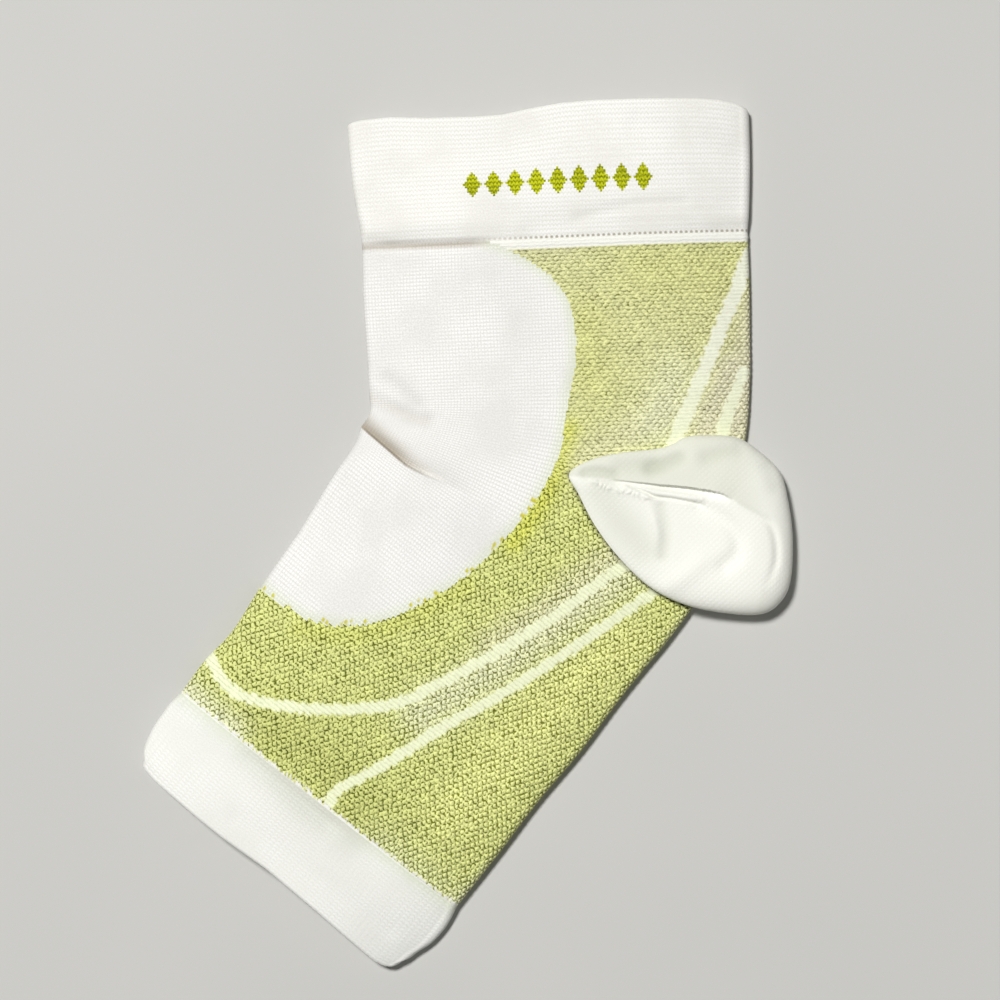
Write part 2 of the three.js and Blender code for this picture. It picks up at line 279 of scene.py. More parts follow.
def closed_run(points, steps):
    """A smooth run through points and back to the first of them."""
    return smooth_run([points[-1], *points, points[0], points[1]], steps)[steps:-steps]


def lap(xy, path, sharp, height, reach, fade=0.22):
    """The height of cloth that laps over itself along a line: to the right of its run the cloth stands
    proud by about half the height and falls off slowly, and to its left it dips within a fifth of the
    sharp length and comes back in a bell. Both fade out towards the line's ends, three times as soon at
    its start."""
    gap, side, share = nearness(xy, path)
    ends = np.clip(np.minimum(share * 3, (1 - share)) / fade, 0, 1)
    over = 0.55 * height * np.exp(-gap / (1.6 * reach))
    under = -height * bell(gap, reach) * ramp(gap, -0.01, 0.2 * sharp)
    return np.where(side < 0, over, under) * ends


def soft_waves(xy, size, height, turns):
    """The slight unevenness of cloth: sines of about one size, each running in another direction."""
    total = 0
    for k, turn in enumerate(turns):
        way = xy[..., 0] * math.cos(turn) + xy[..., 1] * math.sin(turn)
        total = total + np.sin(way * 2 * math.pi / (size * (1 + 0.23 * k)) + 1.7 * k * k)
    return total * height / len(turns)


def inside(xy, outline):
    """True for plan points inside a closed outline: a line to the right of each crosses it an odd number
    of times."""
    outline = np.asarray(outline, float)
    result = np.zeros(xy.shape[:-1], bool)
    for (ax, ay), (bx, by) in zip(outline, np.roll(outline, -1, axis=0)):
        spans = (ay > xy[..., 1]) != (by > xy[..., 1])
        crossing = ax + (xy[..., 1] - ay) * (bx - ax) / (by - ay if by != ay else 1)
        result ^= spans & (xy[..., 0] < crossing)
    return result


# The mock mesh's repeat across and along, and how many repeats lie across the flat tube. COURSE_LENGTH is
# the knit's length before its courses fan out through the ankle, from FAN_START to FAN_END, and stretch
# on the foot, from FOOT_FROM on. The first of it, as long as WELT_COURSES, is white.
MESH_WALE = 1.45
MESH_COURSE = 1.67
REPEATS_ACROSS = 61
COURSE_LENGTH = 131.93
FOOT_FROM = 55
FOOT_STRETCH = 0.13
FAN_START = 31
FAN_END = 75
FAN_RAMP = 12
MESH_RELIEF = 0.1
WELT_COURSES = 2.4

edge_rows = np.array(TUBE_EDGES, float)
front_run = smooth_run(in_plan(edge_rows[:, 0], edge_rows[:, 2], edge_rows[:, 1]), 12)
back_run = smooth_run(in_plan(edge_rows[:, 0], edge_rows[:, 3], edge_rows[:, 1]), 12)
front_length = walk(front_run, 0)[1]
back_length = walk(back_run, 0)[1]

# The ankle's crease, where the foot's cloth laps a little over the leg's, and the softer folds by it.
ANKLE_CREASE = [(-1.5, 1.2), (1.5, -1.6), (5.5, -5), (10.4, -9.2), (15, -11.6), (20, -13.6)]
UPPER_FOLDS = [
    [(0.5, 7.6), (4.5, 5.4), (9, 3.2), (15, 1.2)],
    [(5.6, 11.4), (9, 8.6), (13, 5)],
]
LOWER_FOLD = [(3, -8), (11, -14), (21, -17.5)]
SEAM_FOLD = [(-1, 41.5), (8, 41.5), (18, 41.6), (31, 42)]
CREASE_REACH = 3
CREASE_LAP = 1
LONG_WAVES = (34, 0.3, (0.4, 1.3, 2.3))
KNIT_FOLDS = [
    (UPPER_FOLDS[0], 1.9, -0.7),
    (UPPER_FOLDS[1], 1.8, -0.45),
    (LOWER_FOLD, 4, 0.3),
    (SEAM_FOLD, 1, -0.8, 0.15),
]

# The mock mesh's stitches on the leg and on the foot: the directions across and along in degrees, and the
# true sizes of a repeat. The leg's pass into the foot's across a line through the heel pocket's tip.
STITCH_TURNS = [(2.4, -87.6), (-33.5, -129)]
STITCH_SIZES = [(1.46, 1.7), (1.43, 1.87)]
STITCH_CHANGE = (47.8, -10.9)
CHANGE_HEADING = -102


def headed(angle):
    """The unit vector at an angle in degrees."""
    return np.array([math.cos(math.radians(angle)), math.sin(math.radians(angle))])


def mesh_stitch(xy, wrapped):
    """The mock mesh's stitch position at plan points, in units in which a repeat is MESH_WALE across and
    MESH_COURSE along: the distances from the change in the leg's and in the foot's own directions, passed
    from the one to the other over 10 mm. The way round the edges adds to the distance across."""
    off = xy - STITCH_CHANGE
    parts = []
    for (across, along), (wide, high) in zip(STITCH_TURNS, STITCH_SIZES):
        u = (off @ headed(across) + wrapped) * MESH_WALE / wide
        parts.append(np.stack([u, off @ headed(along) * MESH_COURSE / high], axis=-1))
    foot = ramp(off @ headed(CHANGE_HEADING), -5, 5)[..., None]
    return parts[0] + foot * (parts[1] - parts[0])


def knit_skin(rows, columns, inset):
    """The tube's skin on a grid of courses and wales: the section at each course runs from a point on the
    front edge to one on the back edge, whose distances along the edges grow alike on the leg and the foot
    and fan out between them. Gives places, and the panel's and the mesh's stitch positions."""
    course = np.linspace(0, COURSE_LENGTH, rows)
    front = walk(front_run, fanned(course, front_length))[0]
    back = walk(back_run, fanned(course, back_length))[0]
    width = np.linalg.norm(back - front, axis=1)[:, None]
    edge = LEG_EDGE + (FOOT_EDGE - LEG_EDGE) * ramp(course, FAN_START, FAN_END)[:, None]
    across, height, wrapped = round_section(columns[None, :], width, inset, edge, CROWN)
    xy = front[:, None, :] + (back - front)[:, None, :] / width[..., None] * across[..., None]
    crease = lap(xy, ANKLE_CREASE, CREASE_REACH, CREASE_LAP, 1.5)
    waves = soft_waves(xy, *LONG_WAVES)
    height = height + on_top(height, columns) * (crease + folds(xy, KNIT_FOLDS) + waves)
    wale = columns[None, :] * 2 * REPEATS_ACROSS * MESH_WALE
    wale, course = np.broadcast_arrays(wale, course[:, None])
    return np.dstack([xy, height]), np.dstack([wale, course]), mesh_stitch(xy, wrapped)


def on_top(height, columns):
    """How far a place belongs to the upper side: the height's share of the way from 3 to 5 mm, on the upper
    half of the section."""
    return np.clip((height - 3) / 2, 0, 1) * (columns <= 0.5)


def ramp(value, start, end):
    """The smooth step from 0 at start to 1 at end: three times the square less twice the cube."""
    t = np.clip((value - start) / (end - start), 0, 1)
    return t * t * (3 - 2 * t)


def fanned(course, length):
    """The distance along an edge of a given length at each course: a course has its full height on the leg
    and a little more on the foot, and the rest of the edge's length is shared out in the fan."""
    fine = np.linspace(0, COURSE_LENGTH, 800)
    fan = ramp(fine, FAN_START, FAN_START + FAN_RAMP) * ramp(fine, FAN_END, FAN_END - FAN_RAMP)
    grown = np.cumsum(fan) / fan.sum()
    reach = fine + FOOT_STRETCH * np.maximum(fine - FOOT_FROM, 0)
    return np.interp(course, fine, reach + (length - reach[-1]) * grown)


def stood_out(places, relief):
    """A grid of places moved out along its own normals by a relief in millimetres."""
    normal = np.cross(np.gradient(places, axis=0), np.gradient(places, axis=1))
    normal /= np.maximum(np.linalg.norm(normal, axis=-1, keepdims=True), 1e-9)
    return places + normal * relief[..., None]


def grid_faces(rows, columns, flip=False):
    """The four corners of every cell of a grid, numbered row by row."""
    index = np.arange(rows * columns).reshape(rows, columns)
    corners = [index[:-1, :-1], index[1:, :-1], index[1:, 1:], index[:-1, 1:]]
    return np.stack(corners[::-1] if flip else corners, axis=-1)


def build_piece(name, patches, material, node):
    """One object from patches of (places in mm from the crease, stitch positions, dye, faces). Only the
    vertices that the faces use are kept, and those that meet at seams and poles are joined."""
    places, stitches, dyes, faces, start = [], [], [], [], 0
    for place, stitch, dye, face in patches:
        used, numbers = np.unique(face.reshape(-1, 4), return_inverse=True)
        places.append(place.reshape(-1, 3)[used])
        stitches.append(stitch.reshape(-1, 2)[used])
        dyes.append(dye.reshape(-1, dye.shape[-1])[used])
        faces.append(numbers.reshape(-1, 4) + start)
        start += len(used)
    places, stitches, dyes, faces = (np.concatenate(part) for part in (places, stitches, dyes, faces))
    places = (places + [*ANKLE, 0]) * MM
    mesh = bpy.data.meshes.new(name)
    mesh.vertices.add(len(places))
    mesh.vertices.foreach_set("co", places.astype(np.float32).ravel())
    mesh.loops.add(faces.size)
    mesh.loops.foreach_set("vertex_index", faces.astype(np.int32).ravel())
    mesh.polygons.add(len(faces))
    mesh.polygons.foreach_set("loop_start", np.arange(0, faces.size, 4, dtype=np.int32))
    mesh.polygons.foreach_set("use_smooth", np.ones(len(faces), bool))
    mesh.update(calc_edges=True)
    knit = mesh.uv_layers.new(name="knit")
    knit.data.foreach_set("uv", stitches[faces.ravel()].astype(np.float32).ravel())
    colors = np.column_stack([dyes, np.ones((len(dyes), 4 - dyes.shape[1]))])
    layer = mesh.attributes.new("dye", "FLOAT_COLOR", "POINT")
    layer.data.foreach_set("color", colors.astype(np.float32).ravel())
    joined = bmesh.new()
    joined.from_mesh(mesh)
    bmesh.ops.remove_doubles(joined, verts=joined.verts, dist=1e-6)
    joined.to_mesh(mesh)
    joined.free()
    mesh.materials.append(material)
    piece = bpy.data.objects.new(name, mesh)
    scene.collection.objects.link(piece)
    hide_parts(node)
    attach(piece, "root")


# The instep panel's edge, from the cuff seam round to the front of the foot.
INSTEP_EDGE = [
    (29, 42.3), (32.7, 40.9), (36.8, 38.8), (40.2, 36.6), (43.5, 34.2), (47.2, 29.3), (48.6, 24.6),
    (49.2, 19.4), (49, 13.2), (47.8, 7.4), (46.8, 1.2), (45.7, -5.2), (43.5, -11), (38.8, -19),
    (31.2, -27.6), (23, -35.2), (12.7, -41.2), (4.6, -44.7), (-4.1, -45.8), (-11.1, -44.7),
    (-17.1, -41.7), (-26, -35),
]
INSTEP_OUTSIDE = [(-60, -35), (-60, 60), (0, 60)]

# The heel pocket's outline, round from its tip, which hides and opens the tube beneath it.
HEEL_EDGE = [
    (47.8, -10.9), (53.2, -7.6), (60.1, -6.1), (67.6, -5.3), (71.3, -4.3), (74.2, -2.7), (78.4, -2.1),
    (86.4, -2.6), (92.4, -6.3), (96.7, -10.9), (98.6, -18), (99.5, -26.5), (98.9, -36), (96.3, -41),
    (91.8, -43.4), (83.3, -43), (74.5, -41.1), (66.6, -37.2), (59.4, -30.4), (53.8, -23), (50, -15.8),
]
# The outline's lower-left stretch, along which a painted shadow line darkens the mesh.
HEEL_SHADOW_EDGE = HEEL_EDGE[-7:] + HEEL_EDGE[:1]
HEEL_MIDDLE = np.array([78, -23.5])
HEEL_MOUTH_SHARE = 0.72

# The pale support stripes knitted into the mesh, each with its half width: two under the arch, and two
# behind the ankle.
STRIPES = [
    (1.25, [
        (-35, -53), (-33.8, -55.9), (-29.7, -60.7), (-23.8, -63), (-15, -64.6), (-3.2, -65),
        (8.5, -63.6), (17.3, -59.5), (30.4, -52.4), (44.5, -43.7), (56.8, -34.5), (68, -27),
    ]),
    (1.25, [
        (-7.4, -86.5), (-4.4, -82.9), (5.5, -77.7), (17.3, -70), (32.2, -61.6), (47.6, -51.8),
        (61.8, -41.9), (74, -34),
    ]),
    (1.65, [(89.4, 39.5), (87.4, 34), (84.2, 25.8), (80.6, 17), (77.4, 9), (73.8, 0.6), (70, -9)]),
    (1.35, [(88.2, 12.5), (86.6, 8.2), (84.2, 2.2), (82, -6)]),
]

# The yarn's colours on the foot and on the leg, between which it changes from LEG_FROM to LEG_TO up the
# tube, and where the knit is thinner or tighter and looks another colour: for each such place its colour,
# reach, amount and line.
LIME = linear(233, 238, 154)
LEG_LIME = linear(231, 232, 170)
YELLOW = linear(231, 234, 96)
SOLE_LIME = linear(248, 251, 166)
BEIGE = linear(240, 236, 204)
GREEN_BEIGE = linear(248, 250, 214)
TOE_LIME = linear(217, 222, 136)
STRIPE_PALE = linear(246, 250, 212)
LEG_STRIPE_PALE = linear(244, 245, 224)
WELT_WHITE = linear(246, 245, 237)
LEG_FROM = -38
LEG_TO = -4
TINTS = [
    (YELLOW, 2.6, 0.75, [(47.8, -1), (47.2, -5), (45, -11.5), (40, -20), (35, -27)]),
    (YELLOW, 2.6, 0.3, [(24, -37), (12, -44), (0, -48), (-14, -47)]),
    (YELLOW, 6, 0.2, [(51, 24), (52, 12)]),
    (YELLOW, 8, 0.15, [(66, 36), (84, 36)]),
    (SOLE_LIME, 7, 1, [(22, -88), (28, -82), (37, -72), (47, -61), (60, -50)]),
    (BEIGE, 6, 0.5, [(52, -8), (62, -2), (72, 4)]),
    (BEIGE, 5.5, 0.95, [(92.5, 28), (91, 18), (89, 8), (86, -3)]),
    (BEIGE, 4, 0.85, [(85, 13), (81, 4), (78, -4)]),
    (BEIGE, 4, 0.3, [(34, 42), (46, 41.5)]),
    (GREEN_BEIGE, 6, 0.5, [(72, 12), (68, 0)]),
    (GREEN_BEIGE, 5.5, 0.7, [(61, -33), (44, -46), (30, -56), (14, -66)]),
    (BEIGE, 4, 0.4, [(57, -30), (44, -41.5), (30, -50)]),
    (GREEN_BEIGE, 3, 0.7, [(78, -44), (60, -70), (38, -98), (22, -112)]),
    (TOE_LIME, 8, 0.85, [(-26, -68), (-10, -74), (2, -88)]),
    (GREEN_BEIGE, 4, 0.8, [(-42, -60), (-35, -66), (-30, -70)]),
    (GREEN_BEIGE, 6, 0.4, [(4, -98), (20, -112)]),
]


def tinted(dye, amount, color):
    """A dye drawn towards a colour by an amount."""
    return dye + amount[..., None] * (color - dye)


def mesh_dye(xy, stitch, course):
    """The mesh yarn's colour at plan points: lime, paler on the leg, then drawn towards each tint by a bell
    round its line, uneven from stitch to stitch, pale on the stripes, whose edges are uneven by a stitch,
    white on the first courses below the cuff and here and there on the last at the band, and darkened by a
    painted shadow line along the edge where the heel pocket lies on it. Also how far each place belongs to
    a stripe."""
    leg = ramp(xy[..., 1] - 0.35 * xy[..., 0], LEG_FROM, LEG_TO)[..., None]
    dye = LIME + leg * (LEG_LIME - LIME)
    for tint, reach, amount, path in TINTS:
        dye = tinted(dye, amount * near(xy, path, reach), tint)
    number = np.floor(stitch / [MESH_WALE / 2, MESH_COURSE / 2])
    uneven = 1 + soft_waves(xy, 6, 0.04, (0.3, 1.0, 1.9, 2.6))
    uneven = uneven + soft_waves(xy, 2.9, 0.05, (0.7, 1.6, 2.5))
    first_row = 0.12 * bell(course - WELT_COURSES - 0.6, 0.6)
    dye = dye * (uneven + chance(number, 0.07) - first_row)[..., None]
    striped = np.zeros(xy.shape[:-1])
    for half, path in STRIPES:
        gap = nearness(xy, smooth_run(path, 3))[0]
        striped = np.maximum(striped, ramp(half + chance(number, 0.4) - gap, -0.3, 0.3))
    pale = STRIPE_PALE + leg * (LEG_STRIPE_PALE - STRIPE_PALE)
    dye = tinted(dye, striped, pale * (1 + chance(number, 0.04))[..., None])
    first = (course < WELT_COURSES) | (course > COURSE_LENGTH - 0.55 - chance(xy, 0.45))
    dye = np.where(first[..., None], WELT_WHITE, dye)
    striped = np.maximum(striped, first)
    # Painted shadow: the mesh is darkened in a narrow line along the heel pocket's lower edge.
    dye = dye * (1 - 0.7 * near(xy, HEEL_SHADOW_EDGE, 0.7)[..., None])
    return np.dstack([dye, 1 - striped]), striped


def chance(xy, size):
    """An even spread from minus to plus a size that looks random: the fraction of a steep sine of place."""
    value = np.sin(xy[..., 0] * 12.9898 + xy[..., 1] * 78.233) * 43758.5453
    return ((value - np.floor(value)) * 2 - 1) * size


def by_course(values):
    """Values of a fine grid, held the same along each course, two cells long."""
    row = np.minimum(np.arange(len(values)) // 2 * 2 + 1, len(values) - 1)
    return values[row]


def at_faces(mask):
    """A mask on a grid's vertices as one on its cells, from each cell's first corner."""
    return mask[:-1, :-1]


top_columns = np.linspace(0, 0.5, REPEATS_ACROSS * 4 + 1)
low_columns = np.linspace(0.5, 1, REPEATS_ACROSS + 1)[1:]
outer_columns = np.concatenate([top_columns, low_columns])
outer_rows = round(COURSE_LENGTH / MESH_COURSE * 4) + 1
outer, outer_plain, outer_stitch = knit_skin(outer_rows, outer_columns, 0)
outer_xy = outer[..., :2]
outer_course = outer_plain[..., 1]
stitch_xy = by_course(outer_xy)
outer_dye, outer_striped = mesh_dye(outer_xy, outer_stitch, outer_course)
instep_line = smooth_run(INSTEP_EDGE, 4)
instep_outline = instep_line.tolist() + INSTEP_OUTSIDE
instep_zone = inside(stitch_xy, instep_outline)
heel_smooth = closed_run(HEEL_EDGE, 6)
mouth_outline = HEEL_MIDDLE + (heel_smooth - HEEL_MIDDLE) * HEEL_MOUTH_SHARE
mouth_zone = inside(stitch_xy, mouth_outline) & (outer_columns <= 0.5)
raised = np.prod(np.cos(2 * math.pi * outer_stitch / [MESH_WALE, MESH_COURSE]), axis=-1)
relief = MESH_RELIEF * raised + outer_striped * (0.05 - MESH_RELIEF * raised)
relief = relief * ramp(outer_course, 0, 1) + 0.12 * bell(outer_course - 1.2, 0.6)
relief = relief * (~instep_zone) * (outer_columns <= 0.5)
outer = stood_out(outer, relief)
outer_faces = grid_faces(*outer.shape[:2])

inner_columns = np.linspace(0, 1, 97)
inner, inner_plain, inner_stitch = knit_skin(71, inner_columns, KNIT_WALL)
inner_instep = inside(inner[..., :2], instep_outline)
inner_mouth = inside(inner[..., :2], mouth_outline) & (inner_columns <= 0.5)
inner_faces = grid_faces(*inner.shape[:2], flip=True)
inner_dye = mesh_dye(inner[..., :2], inner_stitch, inner_plain[..., 1])[0]


def share_between(value, low, high):
    """How far a value lies on the way from low to high, held at 0 and 1."""
    inputs = {"Value": value, "From Min": low, "From Max": high}
    return new_node("ShaderNodeMapRange", inputs).outputs["Result"]


def new_group(name, numbers, outputs):
    """A node group that takes the stitch position and then numbers with their usual values. Gives the
    group, the sockets that come into it, and the stitch position across and along."""
    tree = bpy.data.node_groups.new(name, "ShaderNodeTree")
    tree.interface.new_socket("Stitch", in_out="INPUT", socket_type="NodeSocketVector")
    for label, value in numbers.items():
        socket = tree.interface.new_socket(label, in_out="INPUT", socket_type="NodeSocketFloat")
        socket.default_value = value
    for label in outputs:
        tree.interface.new_socket(label, in_out="OUTPUT", socket_type="NodeSocketFloat")
    start = tree.nodes.new("NodeGroupInput").outputs
    split = new_node("ShaderNodeSeparateXYZ", {0: start["Stitch"]}).outputs
    return tree, start, split["X"], split["Y"]


def put_out(tree, **values):
    """The values that a node group gives, by name."""
    end = tree.nodes.new("NodeGroupOutput")
    for name, value in values.items():
        tree.links.new(value, end.inputs[name])
    return tree


# What the mesh's height holds of each cosine, and how strong and how dark the painted shade in its holes
# is. The pairs are what the foot adds and what the leg has.
DROP_SHARE = 0.75
COURSE_SHARE = (-0.12, 0.44)
WALE_SHARE = (0.14, 0.08)
HOLE_DEPTH = (0.95, 1.25)
HOLE_POWER = 2.4
HOLE_LIGHT = (0.22, 0.22, 0.12)
MESH_BUMP = 0.1


def mock_mesh_group():
    """A node group for the mock mesh. Raised stitches stand in a half-drop pattern, the product of a cosine
    across and one along, with a cosine of every course and one of every wale added: the leg shows more of
    the courses, the foot more of the wales. A stripe keeps only the courses. Open is 1 in the small holes,
    which are deeper in some places than others, and Height is the raised yarn."""
    tree, start, x, y = new_group("mock_mesh", {"Stripe": 0}, ["Open", "Height"])
    stitch = start["Stitch"]
    sway = maths("MULTIPLY_ADD", cloud(stitch, 0.75, 2), 0.7, -0.35)
    across = maths("MULTIPLY", maths("ADD", x, sway), 2 * math.pi / MESH_WALE)
    along = maths("MULTIPLY", maths("SUBTRACT", y, sway), 2 * math.pi / MESH_COURSE)
    foot = share_between(y, -4, 6)
    drop = maths("MULTIPLY", maths("COSINE", across), maths("COSINE", along))
    courses = maths("COSINE", maths("MULTIPLY", along, 2))
    wales = maths("COSINE", maths("MULTIPLY", across, 2))
    mixed = maths("MULTIPLY", courses, maths("MULTIPLY_ADD", foot, *COURSE_SHARE))
    mixed = maths("MULTIPLY_ADD", wales, maths("MULTIPLY_ADD", foot, *WALE_SHARE), mixed)
    mixed = maths("MULTIPLY_ADD", drop, DROP_SHARE, mixed)
    grain = maths("MULTIPLY_ADD", cloud(stitch, 1.4, 2), 1.8, -0.9)
    fine = maths("MULTIPLY_ADD", cloud(stitch, 4, 2), 1, -0.5)
    knit = maths("ADD", maths("ADD", mixed, grain), fine)
    ribs = maths("MULTIPLY_ADD", courses, 0.35, maths("MULTIPLY_ADD", grain, 0.3, fine))
    height = new_node("ShaderNodeMix", {0: start["Stripe"], 2: knit, 3: ribs}).outputs[0]
    patchy = maths("MULTIPLY_ADD", cloud(stitch, 0.22, 2), 0.9, 0.5)
    depth = maths("MULTIPLY", maths("MULTIPLY_ADD", foot, *HOLE_DEPTH), patchy)
    opened = maths("MULTIPLY", maths("POWER", share_between(height, -0.05, -1.15), 0.9), depth)
    return put_out(tree, Open=maths("MINIMUM", opened, 1), Height=height)


def place_group(tree, group, **values):
    """A node group placed in a tree, fed with the piece's stitch positions and its own values."""
    stitch = tree.nodes.new("ShaderNodeUVMap")
    stitch.uv_map = "knit"
    return new_node("ShaderNodeGroup", {"Stitch": stitch.outputs["UV"], **values}, node_tree=group)


def yarn_dye(tree):
    """The colour that the piece carries in its dye attribute. On the mesh its alpha is 0 on the stripes."""
    node = tree.nodes.new("ShaderNodeAttribute")
    node.attribute_name = "dye"
    return node.outputs["Color"]


def bump_from(shader, height, depth):
    """The shader's normal bent by a height, of which 1 stands for a depth in millimetres."""
    node = new_node("ShaderNodeBump", {"Height": height, "Distance": depth * MM})
    height.id_data.links.new(node.outputs["Normal"], shader.inputs["Normal"])


mesh_cloth, mesh_tree, mesh_shader = new_material("lime_mock_mesh", 0.95, 0.06)
mesh_yarn = yarn_dye(mesh_tree)
in_stripe = maths("SUBTRACT", 1, mesh_yarn.node.outputs["Alpha"])
mesh_knit = place_group(mesh_tree, mock_mesh_group(), Stripe=in_stripe).outputs
# The holes are painted darker, as shade in them: the yarn's dye is deepened by a power and dimmed by
# HOLE_LIGHT, and less so on the stripes.
hole_deep = new_node("ShaderNodeGamma", {"Color": mesh_yarn, "Gamma": HOLE_POWER}).outputs["Color"]
hole_shade_color = blend_colors(1, hole_deep, HOLE_LIGHT, "MULTIPLY")
hole_share = maths("MULTIPLY", mesh_knit["Open"], maths("MULTIPLY_ADD", in_stripe, -0.72, 1))
mesh_tree.links.new(blend_colors(hole_share, mesh_yarn, hole_shade_color), mesh_shader.inputs["Base Color"])
bump_from(mesh_shader, mesh_knit["Height"], MESH_BUMP)

build_piece(
    "mesh_body_knit",
    [
        (outer, outer_stitch, outer_dye, outer_faces[at_faces(~instep_zone & ~mouth_zone)]),
        (inner, inner_stitch, inner_dye, inner_faces[at_faces(~inner_instep & ~inner_mouth)]),
    ],
    mesh_cloth,
    "mesh_body",
)


# The instep panel.
# A smooth white crescent of fine plain knit over the front of the ankle, knitted in one with the mesh: its
# edge steps from stitch to stitch, and a few yellow stitches show through it along the foot.
INSTEP_WHITE = linear(250, 249, 246)
CREASE_SHADE = linear(182, 172, 156)
# The panel's inside is painted a darker white, as shade within the tube.
INSTEP_SHADE = linear(214, 214, 208)
INSTEP_FRINGE = linear(233, 240, 212)
SPECKLE = linear(218, 212, 84)


def plain_knit_group():
    """A node group for plain knit: each wale is a column of two leaning strokes, a hump across that is a
    little split, and a cosine along whose phase leans with the distance from the column's middle. It shows
    more in some places than others. Groove is 1 between the strokes."""
    usual = {"Wale": 0.73, "Course": 0.84, "Lean": 1.2, "Rib": 0.5}
    tree, start, x, y = new_group("plain_knit", usual, ["Groove", "Height"])
    off = maths("SUBTRACT", maths("FRACT", maths("DIVIDE", x, start["Wale"])), 0.5)
    across = maths("MULTIPLY", off, 2 * math.pi)
    hump = maths("MULTIPLY_ADD", maths("COSINE", across), 0.5, 0.5)
    halves = maths("ABSOLUTE", maths("SINE", across))
    hump = maths("MULTIPLY_ADD", halves, 0.3, maths("MULTIPLY", hump, 0.75))
    leaning = maths("MULTIPLY", maths("ABSOLUTE", off), start["Lean"])
    along = maths("MULTIPLY", maths("ADD", maths("DIVIDE", y, start["Course"]), leaning), 2 * math.pi)
    stroke = maths("MULTIPLY_ADD", maths("COSINE", along), 0.5, 0.5)
    ribbed = maths("MULTIPLY", hump, start["Rib"])
    knit = maths("MULTIPLY", maths("ADD", ribbed, maths("SUBTRACT", 1, start["Rib"])), stroke)
    fuzz = maths("MULTIPLY", maths("SUBTRACT", cloud(start["Stitch"], 2.6, 3), 0.5), 1.3)
    shown = maths("MULTIPLY_ADD", cloud(start["Stitch"], 0.08, 2), 3, -0.9)
    shown = maths("MINIMUM", maths("MAXIMUM", shown, 0.15), 1)
    height = maths("MULTIPLY_ADD", knit, shown, fuzz)
    return put_out(tree, Groove=share_between(height, 0.55, -0.1), Height=height)


plain_knit = plain_knit_group()


def knit_material(name, shade, depth, groove, **stitch):
    """A plain-knit cloth: the yarn's own dye, with painted shade in the grooves between its stitches, where
    it is darkened by a share towards the dye times the shade.
    """
    made, tree, shader = new_material(name, 0.95, 0.08)
    knit = place_group(tree, plain_knit, **stitch).outputs
    dye = yarn_dye(tree)
    amount = maths("MULTIPLY", knit["Groove"], groove)
    color = blend_colors(amount, dye, blend_colors(1, dye, shade, "MULTIPLY"))
    tree.links.new(color, shader.inputs["Base Color"])
    bump_from(shader, knit["Height"], depth)
    return made


def plain_dye(places, color):
    """One colour for every place of a grid, a little uneven as bulky white yarn is."""
    uneven = 1 + soft_waves(places[..., :2], 23, 0.025, (0.2, 1.1, 2.0, 2.9))
    return color * uneven[..., None]


def seam_shade(xy):
    """The shade along the fold at the cuff's seam, which fades out towards the mesh."""
    return 0.8 * near(xy, SEAM_FOLD, 0.8) * ramp(xy[..., 0], 33, 24)


half_repeat = {"Wale": MESH_WALE / 2, "Course": MESH_COURSE / 2}
instep_cloth = knit_material(
    "white_instep_knit", (0.66, 0.66, 0.63), 0.055, 0.62, **half_repeat, Lean=0.2, Rib=1
)
panel_xy = outer[..., :2]
edge_gap, _, edge_share = nearness(stitch_xy, instep_line)
speckle = chance(np.floor(outer_plain / [MESH_WALE / 2, MESH_COURSE / 2]), 1) > 0.72
yellow_stitch = by_course(speckle) & (edge_gap < 0.8) & (edge_share > 0.45)
instep_dye = tinted(plain_dye(outer, INSTEP_WHITE), 0.6 * bell(edge_gap, 1.7), INSTEP_FRINGE)
instep_dye = np.where(yellow_stitch[..., None], SPECKLE, instep_dye)

# The shade in the crease, on the leg's side of it, along the folds above it and along the cuff's seam.
crease_line = smooth_run(ANKLE_CREASE, 4)
crease_gap, crease_side, crease_share = nearness(panel_xy, crease_line)
in_crease = ramp(crease_side * crease_gap, -0.3, 0.1) * bell(crease_gap, 2.8)
in_crease = in_crease * ramp(crease_share, 1, 0.4) * ramp(crease_share, -0.05, 0.1)
shades = [
    0.16 * near(panel_xy, crease_line, 5) * (crease_side > 0),
    0.22 * near(panel_xy, smooth_run(UPPER_FOLDS[0], 4), 2),
    0.12 * near(panel_xy, smooth_run(UPPER_FOLDS[1], 4), 1.8),
    seam_shade(panel_xy),
]
in_crease = np.maximum.reduce([in_crease, *shades]) * (outer_columns <= 0.5)
instep_dye = tinted(instep_dye, in_crease, CREASE_SHADE)
build_piece(
    "instep_panel_knit",
    [
        (outer, outer_plain, instep_dye, outer_faces[at_faces(instep_zone)]),
        (inner, inner_plain, plain_dye(inner, INSTEP_SHADE), inner_faces[at_faces(inner_instep)]),
    ],
    instep_cloth,
    "instep_panel",
)


# The ankle cuff.
# A white welt of fine double knit, folded over at its rim and caught down at the seam, where a row of
# small holes shows above a plain white course. A row of small lime diamonds is knitted into it.
CUFF_WALL = 1.8
CUFF_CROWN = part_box("ankle_cuff")[1].z / MM
CUFF_WALE = 0.84
CUFF_COURSE = 1.02
CUFF_WHITE = linear(250, 249, 244)
FOLD_SHADE = linear(196, 190, 180)
SEAM_HOLES = 41.45
HOLE_PITCH = 1.2
HOLE_HALF = 0.3
HOLE_SHADE = linear(176, 172, 156)
CUFF_EDGES = [
    (40.95, 1.8, 91.0),
    (44.5, 1.7, 91.4),
    (50, 0.9, 91.8),
    (55, 0.3, 92.1),
    (61, -0.1, 92.3),
    (67, -0.3, 92.4),
    (69, -0.4, 92.4),
]

